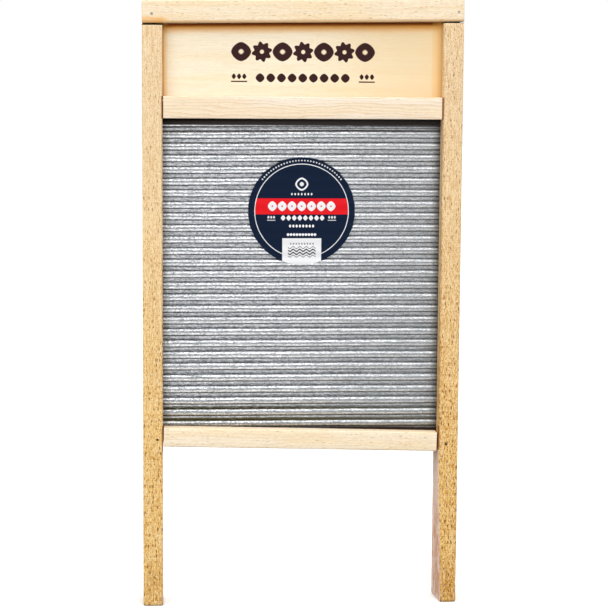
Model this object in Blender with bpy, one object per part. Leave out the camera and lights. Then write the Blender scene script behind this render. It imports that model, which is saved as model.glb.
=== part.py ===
"""A wooden washboard with a corrugated metal scrubbing sheet.

Metres, +Z up.  The board stands on its two legs.  Its front faces -Y, and the
origin is on the ground, midway between the legs and midway through the board.
"""
import math

import bmesh
import bpy
from mathutils import Vector

MM = 0.001

# Driving dimensions of the board
WIDTH = 318 * MM
HEIGHT = 608 * MM                      # at the middle of the crooked top rail
DEPTH = 38 * MM
LEG_WIDTH = 20.2 * MM
TOP_RAIL_HEIGHT = 22.4 * MM
TOP_RAIL_TILT = math.radians(-0.7)      # this rail sits crooked on the legs, right end high
MIDDLE_RAIL_TOP = 513 * MM
MIDDLE_RAIL_HEIGHT = 22 * MM
LOWER_RAIL_TOP = 179.2 * MM
LOWER_RAIL_HEIGHT = 19.6 * MM
LOWER_RAIL_TILT = math.radians(1.38)   # this rail is nailed in crooked, right end low
CLEARANCE = 0.3 * MM                   # gap between pieces that touch
RAIL_SETBACK = 0.4 * MM                # rail faces lie this far behind the leg faces
ARRIS = 1.1 * MM                       # rounding of the long edges of the wood

# Joints between the wooden pieces
TENON_THICKNESS = 12 * MM
RAIL_TENON_LENGTH = 10.6 * MM
MIDDLE_TENON_BOTTOM = 494.1 * MM
MIDDLE_TENON_TOP = 508.4 * MM
LOWER_TENON_SHOULDER = 3 * MM          # wood above and below the lower rail's tenon
LEFT_SHOULDER_GAP = 0.5 * MM           # the crooked rail leaves a wider gap on its right
RIGHT_SHOULDER_GAP = 1.5 * MM
MIDDLE_SHOULDER_GAP = 0.6 * MM
LEG_TENON_INNER = 146.2 * MM           # distances from the board's middle
LEG_TENON_OUTER = 156.2 * MM
LEG_TENON_HEIGHT = 14 * MM
LEG_SHOULDER_GAP = 0.7 * MM            # the crooked top rail doesn't sit tight on the legs

# The right leg's inner front edge is planed away in a long taper down to the foot
FOOT_TAPER_HEIGHT = 150 * MM
FOOT_TAPER_WIDTH = 4.2 * MM

# Header panel, set back from the front as a soap ledge
PANEL_FRONT = -7 * MM
PANEL_THICKNESS = 9 * MM
PANEL_EDGE = 7.2 * MM                  # how far the panel and sheet run into the legs
PANEL_IN_TOP_RAIL = 6 * MM
PANEL_IN_MIDDLE_RAIL = 4 * MM

# Corrugated sheet
SHEET_BOTTOM = 172.8 * MM
SHEET_TOP = 498 * MM
SHEET_THICKNESS = 0.6 * MM
VALLEY_FRONT = 0.6 * MM                # front face of the flats between the ridges
RIDGE_HEIGHT = 3.0 * MM
RIDGE_HALF_WIDTH = 3.65 * MM
RIDGE_PITCH = 11.687 * MM
TOP_RIDGE_CENTRE = 487.4 * MM          # close under the middle rail
RIDGE_COUNT = 27
RIDGE_STEPS = 10
SHEET_GROOVE_IN_MIDDLE_RAIL = 8 * MM
SHEET_GROOVE_IN_LOWER_RAIL = 11 * MM

# Round printed label on the ridges
LABEL_RADIUS = 54 * MM
LABEL_CENTRE_Z = 398.9 * MM
LABEL_THICKNESS = 0.3 * MM
LABEL_SIDES = 72

# Nails, sunk below the wood's surface
NAIL_LENGTH = 24 * MM
NAIL_SHANK_RADIUS = 0.65 * MM
NAIL_HEAD_RADIUS = 1.0 * MM
NAIL_HEAD_THICKNESS = 0.7 * MM
NAIL_SUNK = 1.2 * MM
NAIL_SIDES = 14
TOP_NAIL_X = {"left": -149.4 * MM, "right": 153.4 * MM}
TOP_NAIL_BELOW_CENTRE = 1.9 * MM
MIDDLE_NAIL_X = 145.6 * MM
MIDDLE_NAIL_Z = 503.6 * MM
LOWER_NAIL_X = {"left": -144.6 * MM, "right": 147.0 * MM}
LOWER_NAIL_BELOW_CENTRE = 2.5 * MM

# Values that follow from the ones above
FRONT = -DEPTH / 2
BACK = DEPTH / 2
HALF_WIDTH = WIDTH / 2
INNER = HALF_WIDTH - LEG_WIDTH         # inner face of each leg
SHOULDER_Z = HEIGHT - TOP_RAIL_HEIGHT
PANEL_BACK = PANEL_FRONT + PANEL_THICKNESS
RIDGE_FRONT = VALLEY_FRONT - RIDGE_HEIGHT
SHEET_BACK = VALLEY_FRONT + SHEET_THICKNESS
MIDDLE_RAIL_BOTTOM = MIDDLE_RAIL_TOP - MIDDLE_RAIL_HEIGHT
LOWER_RAIL_CENTRE = LOWER_RAIL_TOP - LOWER_RAIL_HEIGHT / 2
TOP_RAIL_CENTRE = HEIGHT - TOP_RAIL_HEIGHT / 2
OVERCUT = 5 * MM                       # how far a cutter runs past the wood

SIDES = (("left", -1), ("right", 1))


def clear_scene():
    for item in list(bpy.data.objects):
        bpy.data.objects.remove(item, do_unlink=True)


def make_material(name, colour, roughness, metallic=0.0):
    """A plain Principled BSDF material."""
    material = bpy.data.materials.new(name)
    material.use_nodes = True
    shader = material.node_tree.nodes["Principled BSDF"]
    shader.inputs["Base Color"].default_value = (*colour, 1.0)
    shader.inputs["Roughness"].default_value = roughness
    shader.inputs["Metallic"].default_value = metallic
    return material


def add_object(name, shape, location, root, material=None):
    """Turn a bmesh into an object at a location, parented to the board's root."""
    mesh = bpy.data.meshes.new(name)
    bmesh.ops.recalc_face_normals(shape, faces=shape.faces)
    shape.to_mesh(mesh)
    shape.free()
    item = bpy.data.objects.new(name, mesh)
    bpy.context.scene.collection.objects.link(item)
    item.location = location
    item.parent = root
    if material:
        mesh.materials.append(material)
    return item


def box_shape(size):
    """A box of a given size around the origin."""
    shape = bmesh.new()
    bmesh.ops.create_cube(shape, size=1.0)
    bmesh.ops.scale(shape, vec=size, verts=shape.verts)
    return shape


def round_edges(shape, directions, width):
    """Round a box's edges that run along the given axes (0, 1 or 2)."""
    edges = []
    for edge in shape.edges:
        run = edge.verts[1].co - edge.verts[0].co
        longest = max(range(3), key=lambda axis: abs(run[axis]))
        if longest in directions:
            edges.append(edge)
    bmesh.ops.bevel(shape, geom=edges, offset=width, segments=2, profile=0.6, affect="EDGES")


def centre_and_size(low, high):
    centre = [(a + b) / 2 for a, b in zip(low, high)]
    size = [b - a for a, b in zip(low, high)]
    return centre, size


def wood_piece(name, low, high, directions, root, material):
    """A wooden bar between two corners, with rounded edges along the given axes."""
    centre, size = centre_and_size(low, high)
    shape = box_shape(size)
    round_edges(shape, directions, ARRIS)
    return add_object(name, shape, centre, root, material)


def cut(target, cutter):
    """Take a cutter's shape away from a piece, and hide the cutter."""
    boolean = target.modifiers.new("cut_" + cutter.name, "BOOLEAN")
    boolean.operation = "DIFFERENCE"
    boolean.object = cutter
    cutter.hide_render = True
    cutter.display_type = "WIRE"


def cut_box(target, label, low, high, root):
    """Cut a box out of a piece, between two corners."""
    centre, size = centre_and_size(low, high)
    cutter = add_object(f"cutter_{target.name}_{label}", box_shape(size), centre, root)
    cut(target, cutter)
    return cutter


def sleeve_shape(outer, inner, length):
    """A square sleeve along Z: the wood around a tenon that a saw takes away."""
    shape = bmesh.new()
    corners = ((-1, -1), (1, -1), (1, 1), (-1, 1))
    rings = []
    for half_x, half_y in (outer, inner):
        for z in (-length / 2, length / 2):
            rings.append([shape.verts.new((sx * half_x, sy * half_y, z)) for sx, sy in corners])
    outer_low, outer_high, inner_low, inner_high = rings
    for a, b in ((outer_low, outer_high), (inner_high, inner_low),
                 (outer_high, inner_high), (inner_low, outer_low)):
        for i in range(4):
            j = (i + 1) % 4
            shape.faces.new((a[i], a[j], b[j], b[i]))
    return shape


def turned_shape(profile, sides):
    """A solid of revolution about Z, from (radius, z) points whose ends are on the axis."""
    shape = bmesh.new()
    start = shape.verts.new((0, 0, profile[0][1]))
    end = shape.verts.new((0, 0, profile[-1][1]))
    rings = []
    for radius, z in profile[1:-1]:
        ring = []
        for i in range(sides):
            angle = math.tau * i / sides
            ring.append(shape.verts.new((radius * math.cos(angle), radius * math.sin(angle), z)))
        rings.append(ring)
    for i in range(sides):
        j = (i + 1) % sides
        shape.faces.new((start, rings[0][j], rings[0][i]))
        shape.faces.new((end, rings[-1][i], rings[-1][j]))
        for a, b in zip(rings, rings[1:]):
            shape.faces.new((a[i], a[j], b[j], b[i]))
    return shape


def nail_profile():
    """Head at z = 0, point at z = -NAIL_LENGTH."""
    head, shank = NAIL_HEAD_RADIUS, NAIL_SHANK_RADIUS
    neck = -NAIL_HEAD_THICKNESS
    point = -NAIL_LENGTH
    return [(0, 0), (head * 0.8, 0), (head, neck * 0.25), (head, neck * 0.75),
            (shank, neck * 1.4), (shank, point + 3 * shank), (0, point)]


def nail_hole_profile():
    """The nail's shape with clearance, open to the surface NAIL_SUNK above its head."""
    head = NAIL_HEAD_RADIUS + CLEARANCE
    shank = NAIL_SHANK_RADIUS + CLEARANCE
    neck = -NAIL_HEAD_THICKNESS - CLEARANCE
    point = -NAIL_LENGTH - CLEARANCE
    top = NAIL_SUNK + OVERCUT
    return [(0, top), (head, top), (head, neck), (shank, neck * 1.4), (shank, point), (0, point)]


def drive_nail(name, x, z, from_front, targets, root, material):
    """One sunk nail along Y, and its hole in every piece that it passes through."""
    toward = 1 if from_front else -1
    place = (x, (FRONT + NAIL_SUNK) * toward, z)
    turn = (math.pi / 2 * toward, 0, 0)
    nail = add_object(name, turned_shape(nail_profile(), NAIL_SIDES), place, root, material)
    nail.rotation_euler = turn
    nail.data.shade_smooth()
    nail.data.set_sharp_from_angle(angle=math.radians(35))
    hole = add_object("cutter_" + name, turned_shape(nail_hole_profile(), NAIL_SIDES), place, root)
    hole.rotation_euler = turn
    for target in targets:
        cut(target, hole)


def span(sign, inner, outer):
    """X range between two distances from the middle, on the left or right side."""
    return (inner, outer) if sign > 0 else (-outer, -inner)


def rail_shift(tilt, x):
    """How much a crooked rail is raised at x."""
    return -math.tan(tilt) * x


def leg_shoulder(sign):
    """Height of the crooked top rail's underside over the middle of a leg."""
    return SHOULDER_Z + rail_shift(TOP_RAIL_TILT, sign * (INNER + LEG_WIDTH / 2))


def taper_shape():
    """The wood that the foot's taper takes away, in the board's own frame."""
    foot_back = Vector((INNER, BACK, 0))
    foot_front = Vector((INNER + FOOT_TAPER_WIDTH, FRONT, 0))
    start = Vector((INNER, FRONT, FOOT_TAPER_HEIGHT))
    middle = (foot_back + foot_front + start) / 3
    on_plane = [middle + (corner - middle) * 2 for corner in (foot_back, foot_front, start)]
    aside = [corner - Vector((LEG_WIDTH, 0, 0)) for corner in on_plane]
    shape = bmesh.new()
    near = [shape.verts.new(corner) for corner in on_plane]
    far = [shape.verts.new(corner) for corner in aside]
    shape.faces.new(near)
    shape.faces.new(far)
    for i in range(3):
        j = (i + 1) % 3
        shape.faces.new((near[i], near[j], far[j], far[i]))
    return shape


def make_leg(name, sign, root, material):
    """A post with a top tenon, two rail mortises, and grooves for the panel and the sheet."""
    x0, x1 = span(sign, INNER, HALF_WIDTH)
    low = (x0, FRONT, 0)
    shoulder_z = leg_shoulder(sign) - LEG_SHOULDER_GAP
    high = (x1, BACK, shoulder_z + LEG_TENON_HEIGHT)
    leg = wood_piece(name, low, high, (0, 1, 2), root, material)

    tenon_x = sign * (LEG_TENON_INNER + LEG_TENON_OUTER) / 2
    outer = (LEG_WIDTH * 2, DEPTH)
    inner = ((LEG_TENON_OUTER - LEG_TENON_INNER) / 2, TENON_THICKNESS / 2)
    length = LEG_TENON_HEIGHT + OVERCUT
    middle = (tenon_x, 0, shoulder_z + length / 2)
    shoulder = add_object(f"cutter_{name}_shoulder", sleeve_shape(outer, inner, length), middle, root)
    cut(leg, shoulder)

    groove = PANEL_EDGE + CLEARANCE
    g0, g1 = span(sign, INNER - OVERCUT, INNER + groove)
    cut_box(leg, "panel_groove",
            (g0, PANEL_FRONT - CLEARANCE, MIDDLE_TENON_TOP - CLEARANCE),
            (g1, PANEL_BACK + CLEARANCE, HEIGHT + OVERCUT), root)
    cut_box(leg, "sheet_groove",
            (g0, RIDGE_FRONT - CLEARANCE, SHEET_BOTTOM - CLEARANCE),
            (g1, SHEET_BACK + CLEARANCE, SHEET_TOP + CLEARANCE), root)

    m0, m1 = span(sign, INNER - OVERCUT, INNER + RAIL_TENON_LENGTH + CLEARANCE)
    half_thickness = TENON_THICKNESS / 2 + CLEARANCE
    cut_box(leg, "middle_mortise",
            (m0, -half_thickness, MIDDLE_TENON_BOTTOM - CLEARANCE),
            (m1, half_thickness, MIDDLE_TENON_TOP + CLEARANCE), root)
    slack = RAIL_TENON_LENGTH * math.tan(LOWER_RAIL_TILT) / 2 + CLEARANCE
    half_tenon = LOWER_RAIL_HEIGHT / 2 - LOWER_TENON_SHOULDER + slack
    centre = LOWER_RAIL_CENTRE + rail_shift(LOWER_RAIL_TILT, sign * (INNER + RAIL_TENON_LENGTH / 2))
    cut_box(leg, "lower_mortise",
            (m0, -half_thickness, centre - half_tenon),
            (m1, half_thickness, centre + half_tenon), root)
    if sign > 0:
        cut(leg, add_object(f"cutter_{name}_taper", taper_shape(), (0, 0, 0), root))
    return leg


def make_top_rail(root, material):
    """The crooked cap across both legs, with leg mortises and a panel groove underneath."""
    rail = wood_piece("top_rail", (-HALF_WIDTH, FRONT, SHOULDER_Z), (HALF_WIDTH, BACK, HEIGHT),
                      (0, 1, 2), root, material)
    slack = LEG_TENON_HEIGHT * math.tan(abs(TOP_RAIL_TILT)) / 2 + CLEARANCE
    half_thickness = TENON_THICKNESS / 2 + CLEARANCE
    cutters = []
    for side, sign in SIDES:
        x0, x1 = span(sign, LEG_TENON_INNER - slack, LEG_TENON_OUTER + slack)
        cutters.append(cut_box(rail, f"{side}_mortise",
                               (x0, -half_thickness, SHOULDER_Z - OVERCUT),
                               (x1, half_thickness, SHOULDER_Z + LEG_TENON_HEIGHT), root))
    reach = INNER + PANEL_EDGE + CLEARANCE
    drop = abs(rail_shift(TOP_RAIL_TILT, reach))
    cutters.append(cut_box(rail, "panel_groove",
                           (-reach, PANEL_FRONT - CLEARANCE, SHOULDER_Z - OVERCUT),
                           (reach, PANEL_BACK + CLEARANCE,
                            SHOULDER_Z + PANEL_IN_TOP_RAIL + drop + CLEARANCE), root))
    for item in (rail, *cutters):
        tilt_about_centre(item, TOP_RAIL_TILT, TOP_RAIL_CENTRE)
    return rail


def make_header_panel(root, material):
    """The thin board behind the soap ledge."""
    reach = INNER + PANEL_EDGE
    low = (-reach, PANEL_FRONT, MIDDLE_RAIL_TOP - PANEL_IN_MIDDLE_RAIL)
    high = (reach, PANEL_BACK, SHOULDER_Z + PANEL_IN_TOP_RAIL)
    centre, size = centre_and_size(low, high)
    return add_object("header_panel", box_shape(size), centre, root, material)


def cut_rail_tenons(rail, shoulders, tenon_low, tenon_high, half_height, root):
    """Saw the wood around both end tenons away; shoulders are the gaps to the legs."""
    ends = []
    for (side, sign), gap in zip(SIDES, shoulders):
        length = RAIL_TENON_LENGTH + gap + OVERCUT
        height = (tenon_high - tenon_low) / 2
        outer = (half_height * 2, DEPTH)
        shape = sleeve_shape(outer, (height, TENON_THICKNESS / 2), length)
        middle = (sign * (INNER - gap + length / 2), 0, (tenon_low + tenon_high) / 2)
        cutter = add_object(f"cutter_{rail.name}_{side}_end", shape, middle, root)
        cutter.rotation_euler = (0, math.pi / 2, 0)
        cut(rail, cutter)
        ends.append(cutter)
    return ends


def tilt_about_centre(item, angle, centre_z):
    """Turn an object about a rail's centre; a positive angle lowers the right end."""
    dx = item.location.x
    dz = item.location.z - centre_z
    item.location.x = dx * math.cos(angle) + dz * math.sin(angle)
    item.location.z = centre_z - dx * math.sin(angle) + dz * math.cos(angle)
    item.rotation_euler.y += angle


def make_middle_rail(root, material):
    """The rail between the panel and the sheet, with a groove for each."""
    reach = INNER + RAIL_TENON_LENGTH
    rail = wood_piece("middle_rail", (-reach, FRONT + RAIL_SETBACK, MIDDLE_RAIL_BOTTOM),
                      (reach, BACK - RAIL_SETBACK, MIDDLE_RAIL_TOP), (0,), root, material)
    gaps = (MIDDLE_SHOULDER_GAP, MIDDLE_SHOULDER_GAP)
    cut_rail_tenons(rail, gaps, MIDDLE_TENON_BOTTOM, MIDDLE_TENON_TOP, MIDDLE_RAIL_HEIGHT, root)
    cut_box(rail, "panel_groove",
            (-reach - OVERCUT, PANEL_FRONT - CLEARANCE,
             MIDDLE_RAIL_TOP - PANEL_IN_MIDDLE_RAIL - CLEARANCE),
            (reach + OVERCUT, PANEL_BACK + CLEARANCE, MIDDLE_RAIL_TOP + OVERCUT), root)
    cut_box(rail, "sheet_groove",
            (-reach - OVERCUT, RIDGE_FRONT - CLEARANCE, MIDDLE_RAIL_BOTTOM - OVERCUT),
            (reach + OVERCUT, SHEET_BACK + CLEARANCE,
             MIDDLE_RAIL_BOTTOM + SHEET_GROOVE_IN_MIDDLE_RAIL), root)
    return rail


def make_lower_rail(root, material):
    """The crooked rail under the sheet, with a groove for the sheet in its top."""
    reach = INNER + RAIL_TENON_LENGTH
    bottom = LOWER_RAIL_TOP - LOWER_RAIL_HEIGHT
    rail = wood_piece("lower_rail", (-reach, FRONT + RAIL_SETBACK, bottom),
                      (reach, BACK - RAIL_SETBACK, LOWER_RAIL_TOP), (0,), root, material)
    gaps = (LEFT_SHOULDER_GAP, RIGHT_SHOULDER_GAP)
    ends = cut_rail_tenons(rail, gaps, bottom + LOWER_TENON_SHOULDER,
                           LOWER_RAIL_TOP - LOWER_TENON_SHOULDER, LOWER_RAIL_HEIGHT, root)
    groove = cut_box(rail, "sheet_groove",
                     (-reach - OVERCUT, RIDGE_FRONT - CLEARANCE,
                      LOWER_RAIL_TOP - SHEET_GROOVE_IN_LOWER_RAIL),
                     (reach + OVERCUT, SHEET_BACK + CLEARANCE, LOWER_RAIL_TOP + OVERCUT), root)
    for item in (rail, groove, *ends):
        tilt_about_centre(item, LOWER_RAIL_TILT, LOWER_RAIL_CENTRE)
    return rail


def sheet_line(offset):
    """The corrugated line (y, z) from bottom to top; offset thickens it backwards."""
    points = [(VALLEY_FRONT + offset, SHEET_BOTTOM)]
    half_width = RIDGE_HALF_WIDTH - offset
    for ridge in reversed(range(RIDGE_COUNT)):
        centre = TOP_RIDGE_CENTRE - ridge * RIDGE_PITCH
        for step in range(RIDGE_STEPS + 1):
            angle = math.pi * step / RIDGE_STEPS
            points.append((VALLEY_FRONT + offset - RIDGE_HEIGHT * math.sin(angle),
                           centre - half_width * math.cos(angle)))
    points.append((VALLEY_FRONT + offset, SHEET_TOP))
    return points


def make_scrub_sheet(root, material):
    """The galvanised sheet, with half-round ridges and flats between them."""
    shape = bmesh.new()
    reach = INNER + PANEL_EDGE
    rows = []
    for front, back in zip(sheet_line(0.0), sheet_line(SHEET_THICKNESS)):
        row = []
        for x in (-reach, reach):
            row.append(shape.verts.new((x, front[0], front[1])))
            row.append(shape.verts.new((x, back[0], back[1])))
        rows.append(row)
    for (a0, a1, a2, a3), (b0, b1, b2, b3) in zip(rows, rows[1:]):
        shape.faces.new((a0, a2, b2, b0))   # front
        shape.faces.new((a1, b1, b3, a3))   # back
        shape.faces.new((a0, b0, b1, a1))   # left edge
        shape.faces.new((a2, a3, b3, b2))   # right edge
    for a0, a1, a2, a3 in (rows[0], rows[-1]):
        shape.faces.new((a0, a1, a3, a2))
    sheet = add_object("scrub_sheet", shape, (0, 0, 0), root, material)
    sheet.data.shade_smooth()
    sheet.data.set_sharp_from_angle(angle=math.radians(40))
    return sheet


def make_round_label(root, material):
    """A paper disc stuck across the ridges."""
    half = LABEL_THICKNESS / 2
    rim = LABEL_RADIUS
    profile = [(0, half), (rim, half), (rim, -half), (0, -half)]
    place = (0, RIDGE_FRONT - CLEARANCE - half, LABEL_CENTRE_Z)
    label = add_object("round_label", turned_shape(profile, LABEL_SIDES), place, root, material)
    label.rotation_euler = (math.pi / 2, 0, 0)
    label.data.shade_smooth()
    label.data.set_sharp_from_angle(angle=math.radians(30))
    return label


def make_nails(legs, top_rail, middle_rail, lower_rail, root, material):
    """Pin every tenon with one sunk nail."""
    for side, sign in SIDES:
        leg = legs[side]
        x = TOP_NAIL_X[side]
        z = TOP_RAIL_CENTRE + rail_shift(TOP_RAIL_TILT, x) - TOP_NAIL_BELOW_CENTRE
        drive_nail(f"top_rail_nail_{side}", x, z, True, (top_rail, leg), root, material)
        drive_nail(f"middle_rail_nail_{side}", sign * MIDDLE_NAIL_X, MIDDLE_NAIL_Z, False,
                   (leg, middle_rail), root, material)
        x = LOWER_NAIL_X[side]
        z = LOWER_RAIL_CENTRE + rail_shift(LOWER_RAIL_TILT, x) - LOWER_NAIL_BELOW_CENTRE
        drive_nail(f"lower_rail_nail_{side}", x, z, True, (leg, lower_rail), root, material)


def build():
    clear_scene()
    root = bpy.data.objects.new("washboard_root", None)
    bpy.context.scene.collection.objects.link(root)

    leg_wood = make_material("tan_leg_wood", (0.76, 0.50, 0.24), 0.6)
    pine = make_material("pale_pine", (0.90, 0.73, 0.50), 0.6)
    zinc = make_material("galvanised_sheet", (0.55, 0.56, 0.57), 0.4, 1.0)
    print_paper = make_material("printed_paper", (0.01, 0.02, 0.06), 0.5)
    steel = make_material("nail_steel", (0.20, 0.19, 0.18), 0.5, 1.0)

    legs = {side: make_leg(f"{side}_leg", sign, root, leg_wood) for side, sign in SIDES}
    top_rail = make_top_rail(root, pine)
    make_header_panel(root, pine)
    middle_rail = make_middle_rail(root, pine)
    lower_rail = make_lower_rail(root, pine)
    make_scrub_sheet(root, zinc)
    make_round_label(root, print_paper)
    make_nails(legs, top_rail, middle_rail, lower_rail, root, steel)


build()
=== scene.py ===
import math

import bmesh
import bpy
from mathutils import Matrix, Vector, noise


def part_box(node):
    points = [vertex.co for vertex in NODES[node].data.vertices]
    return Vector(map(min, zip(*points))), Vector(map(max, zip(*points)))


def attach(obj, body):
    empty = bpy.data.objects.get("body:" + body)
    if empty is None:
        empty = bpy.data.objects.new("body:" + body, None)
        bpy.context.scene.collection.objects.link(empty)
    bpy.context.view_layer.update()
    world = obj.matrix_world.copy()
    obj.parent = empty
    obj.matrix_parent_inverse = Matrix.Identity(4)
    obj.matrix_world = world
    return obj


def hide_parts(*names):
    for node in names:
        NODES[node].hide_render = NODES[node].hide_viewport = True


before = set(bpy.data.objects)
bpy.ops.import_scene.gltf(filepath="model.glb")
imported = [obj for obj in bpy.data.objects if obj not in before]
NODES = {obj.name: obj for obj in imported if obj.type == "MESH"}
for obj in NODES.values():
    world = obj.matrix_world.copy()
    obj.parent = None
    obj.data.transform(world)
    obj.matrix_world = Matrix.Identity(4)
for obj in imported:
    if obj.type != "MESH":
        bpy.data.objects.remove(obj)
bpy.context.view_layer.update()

# Looks of a wooden washboard.  Metres, in the CAD model's frame: the front faces -Y, +Z is up.
# Materials measure in millimetres, because wood grain and print are easier to read that way.
MM = 0.001

# The corrugation, as the CAD model has it
RIDGE_PITCH = 11.687 * MM
TOP_RIDGE_CENTRE = 487.4 * MM
RIDGE_COUNT = 27
RIDGE_HALF_WIDTH = 3.65 * MM
RIDGE_HEIGHT = 3.0 * MM
RIDGE_FILLET = 0.55 * MM              # how far a ridge's foot runs out into the flat
VALLEY_FRONT = 0.6 * MM               # Y of the flats between the ridges
RIDGE_DROOP = 1.1 * MM                # the ridges sag this much at the sheet's upper left corner
METAL_THICKNESS = 0.5 * MM

# The crooked rails: a positive tilt lowers the right end
TOP_RAIL_TILT = math.radians(-0.7)
LOWER_RAIL_TILT = math.radians(1.38)
LOWER_RAIL_HEIGHT = 19.6 * MM
LEG_TENON_HEIGHT = 14.0 * MM

# Heights of the rails and of the metal between them, and the legs' inner faces, in millimetres
MIDDLE_RAIL_Z = (491.0, 513.0)
LOWER_RAIL_Z = (158.0, 183.0)
LEG_INNER_X = 138.8

# The printed border on the header and the label's print, in millimetres
BORDER_Z = 556.9
BORDER_PITCH = 20.5
BORDER_MIDDLE_X = 0.3
LABEL_RING_RADIUS = 46.6
LABEL_DOTS_RADIUS = 50.6

# Camera
CAMERA_PLACE = (-0.1468, -1.9971, 0.5402)
CAMERA_YAW = math.radians(4.294)      # to the right
CAMERA_PITCH = math.radians(6.701)    # down
CAMERA_ROLL = math.radians(0.362)
CAMERA_LENS = 118.42


# ---------------------------------------------------------------------------
# Node fields: numbers and colours that vary over a surface
# ---------------------------------------------------------------------------

class Field:
    """A number or vector in a node tree, with ordinary arithmetic."""

    def __init__(self, tree, socket):
        self.tree = tree
        self.socket = socket

    def _math(self, operation, *others, clamp=False):
        node = self.tree.nodes.new("ShaderNodeMath")
        node.operation = operation
        node.use_clamp = clamp
        for slot, value in zip(node.inputs, (self, *others)):
            put(self.tree, slot, value)
        return Field(self.tree, node.outputs[0])

    def __add__(self, other):
        return self._math("ADD", other)

    def __radd__(self, other):
        return self._math("ADD", other)

    def __sub__(self, other):
        return self._math("SUBTRACT", other)

    def __rsub__(self, other):
        return (self * -1.0) + other

    def __mul__(self, other):
        return self._math("MULTIPLY", other)

    def __rmul__(self, other):
        return self._math("MULTIPLY", other)

    def __truediv__(self, other):
        return self._math("DIVIDE", other)

    def power(self, other):
        return self._math("POWER", other)

    def absolute(self):
        return self._math("ABSOLUTE")

    def most(self, other):
        return self._math("MAXIMUM", other)

    def fraction(self):
        return self._math("FRACT")

    def sine(self):
        return self._math("SINE")

    def arctan2(self, other):
        """Angle in radians, anticlockwise from other's axis to this one's."""
        return self._math("ARCTAN2", other)

    def clamped(self):
        return self._math("ADD", 0.0, clamp=True)

    def smooth(self, low, high):
        """0 below low, 1 above high, smooth between; low above high turns it round."""
        node = self.tree.nodes.new("ShaderNodeMapRange")
        node.interpolation_type = "SMOOTHSTEP"
        node.clamp = True
        flip = low > high
        first, second = (high, low) if flip else (low, high)
        put(self.tree, node.inputs["Value"], self)
        node.inputs["From Min"].default_value = first
        node.inputs["From Max"].default_value = second
        node.inputs["To Min"].default_value = 1.0 if flip else 0.0
        node.inputs["To Max"].default_value = 0.0 if flip else 1.0
        return Field(self.tree, node.outputs["Result"])

    def inside(self, low, high, edge):
        """1 between low and high, with soft edges."""
        return self.smooth(low - edge, low + edge) * self.smooth(high + edge, high - edge)


def put(tree, slot, value):
    """Link a field into a socket, or set its constant."""
    if isinstance(value, Field):
        tree.links.new(value.socket, slot)
    else:
        slot.default_value = value


class Surface:
    """A material with a Principled BSDF, and the fields that feed it."""

    def __init__(self, name):
        self.material = bpy.data.materials.new(name)
        self.material.use_nodes = True
        self.tree = self.material.node_tree
        self.shader = self.tree.nodes["Principled BSDF"]
        coordinates = self.tree.nodes.new("ShaderNodeTexCoord")
        split = self.tree.nodes.new("ShaderNodeSeparateXYZ")
        self.tree.links.new(coordinates.outputs["Object"], split.inputs[0])
        self.x, self.y, self.z = (Field(self.tree, out) * (1 / MM) for out in split.outputs)
        self.coordinates = coordinates

    def constant(self, **settings):
        for name, value in settings.items():
            self.shader.inputs[name.replace("_", " ")].default_value = value

    def connect(self, name, value):
        put(self.tree, self.shader.inputs[name], value)

    def facing(self, axis, sign):
        """1 on faces that look along an axis (0, 1 or 2) in the direction of sign."""
        split = self.tree.nodes.new("ShaderNodeSeparateXYZ")
        self.tree.links.new(self.coordinates.outputs["Normal"], split.inputs[0])
        return (Field(self.tree, split.outputs[axis]) * sign).smooth(0.45, 0.75)

    def vector(self, x, y, z):
        node = self.tree.nodes.new("ShaderNodeCombineXYZ")
        for slot, value in zip(node.inputs, (x, y, z)):
            put(self.tree, slot, value)
        return Field(self.tree, node.outputs[0])

    def noise(self, x, y, z, detail=2.0, roughness=0.5):
        """Noise from 0 to 1 with features about one unit of x, y and z in size."""
        node = self.tree.nodes.new("ShaderNodeTexNoise")
        put(self.tree, node.inputs["Vector"], self.vector(x, y, z))
        node.inputs["Scale"].default_value = 1.0
        node.inputs["Detail"].default_value = detail
        node.inputs["Roughness"].default_value = roughness
        return Field(self.tree, node.outputs[0])

    def cells(self, x, y, z):
        """Voronoi cells: distance to the nearest centre, and a random number for each cell."""
        node = self.tree.nodes.new("ShaderNodeTexVoronoi")
        put(self.tree, node.inputs["Vector"], self.vector(x, y, z))
        node.inputs["Scale"].default_value = 1.0
        split = self.tree.nodes.new("ShaderNodeSeparateColor")
        self.tree.links.new(node.outputs["Color"], split.inputs[0])
        return Field(self.tree, node.outputs["Distance"]), Field(self.tree, split.outputs[0])

    def blend(self, factor, first, second, mode="MIX"):
        """Colour first where factor is 0 and second where it is 1."""
        node = self.tree.nodes.new("ShaderNodeMix")
        node.data_type = "RGBA"
        node.blend_type = mode
        put(self.tree, node.inputs["Factor"], factor)
        for slot, value in (("A", first), ("B", second)):
            colour = value if isinstance(value, Field) else (*value, 1.0)
            put(self.tree, [i for i in node.inputs if i.name == slot and i.type == "RGBA"][0], colour)
        return Field(self.tree, [o for o in node.outputs if o.type == "RGBA"][0])

    def grey(self, value):
        """A number as a grey colour."""
        node = self.tree.nodes.new("ShaderNodeCombineColor")
        for slot in node.inputs:
            put(self.tree, slot, value)
        return Field(self.tree, node.outputs[0])

    def bump(self, *layers):
        """Stack bumps: each layer is (height in mm, strength)."""
        normal = None
        for height, strength in layers:
            node = self.tree.nodes.new("ShaderNodeBump")
            node.inputs["Strength"].default_value = strength
            node.inputs["Distance"].default_value = MM
            put(self.tree, node.inputs["Height"], height)
            if normal:
                self.tree.links.new(normal, node.inputs["Normal"])
            normal = node.outputs[0]
        self.tree.links.new(normal, self.shader.inputs["Normal"])


# ---------------------------------------------------------------------------
# Wood
# ---------------------------------------------------------------------------

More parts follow.
